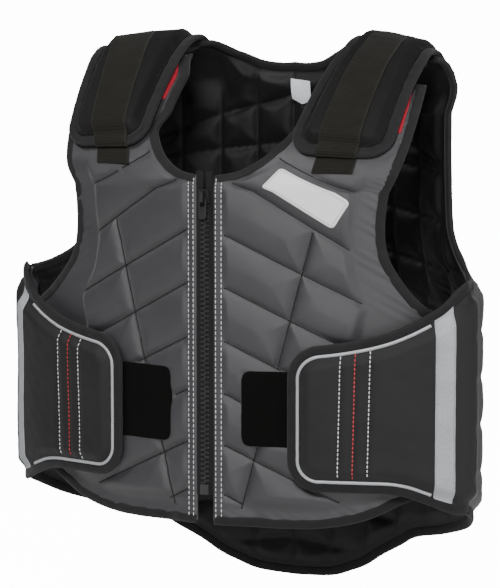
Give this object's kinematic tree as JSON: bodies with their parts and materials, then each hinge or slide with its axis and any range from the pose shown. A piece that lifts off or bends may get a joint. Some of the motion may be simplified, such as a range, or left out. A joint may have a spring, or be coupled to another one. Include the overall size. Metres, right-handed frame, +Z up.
{
  "type": "equestrian body protector",
  "caption": "Padded zip-fronted riding vest with quilted front, long back, padded shoulders, wrap-round waist flaps and bound edges, in its worn shape.",
  "frame": {"origin": "on the wearer's trunk axis at the height where the shoulders carry the vest", "axes": "+Z up, +X to the wearer's left, -Y to the wearer's front"},
  "size_m": [0.5012, 0.2357, 0.5686],
  "materials": {
    "shell_cloth": "black padded nylon with a fine woven grain",
    "flap_cloth": "black padded nylon",
    "binding_tape": "ribbed black binding tape",
    "hook_tape": "black hook tape",
    "loop_tape": "fuzzy black loop tape",
    "red_tape": "red woven tape",
    "reflective_tape": "light grey reflective woven tape",
    "zip_cloth": "black zip tape",
    "zip_plastic": "black moulded plastic",
    "badge_plate": "pale bare badge",
    "label_cloth": "white satin label"
  },
  "bodies": {
    "vest": {"front_panel_left": "shell_cloth", "front_panel_right": "shell_cloth", "front_binding_left": "binding_tape", "front_binding_right": "binding_tape", "waist_flap_left": "flap_cloth", "waist_flap_right": "flap_cloth", "flap_binding_left": "binding_tape", "flap_binding_right": "binding_tape", "shoulder_pad_left": "shell_cloth", "shoulder_pad_right": "shell_cloth", "pad_binding_left": "binding_tape", "pad_binding_right": "binding_tape", "shoulder_strap_left": "hook_tape", "shoulder_strap_right": "hook_tape", "strap_catch_left": "hook_tape", "strap_catch_right": "hook_tape", "red_tab_left": "red_tape", "red_tab_right": "red_tape", "loop_patch_left": "loop_tape", "loop_patch_right": "loop_tape", "reflective_strip_left": "reflective_tape", "reflective_strip_right": "reflective_tape", "zip_tape_left": "zip_cloth", "zip_tape_right": "zip_cloth", "back_panel": "shell_cloth", "back_binding": "binding_tape", "tail_binding": "binding_tape", "zip_chain": "zip_plastic", "zip_box": "zip_plastic", "zip_slider": "zip_plastic", "chest_badge": "badge_plate", "care_label": "label_cloth"},
    "pull": {"zip_pull": "zip_plastic"}
  },
  "joints": [
    {"name": "zip_pull_hinge", "type": "hinge", "parent": "vest", "child": "pull", "pos_m": [0, -0.11485, -0.1384], "axis": [-1, 0, 0], "range_deg": [0, 110]}
  ]
}
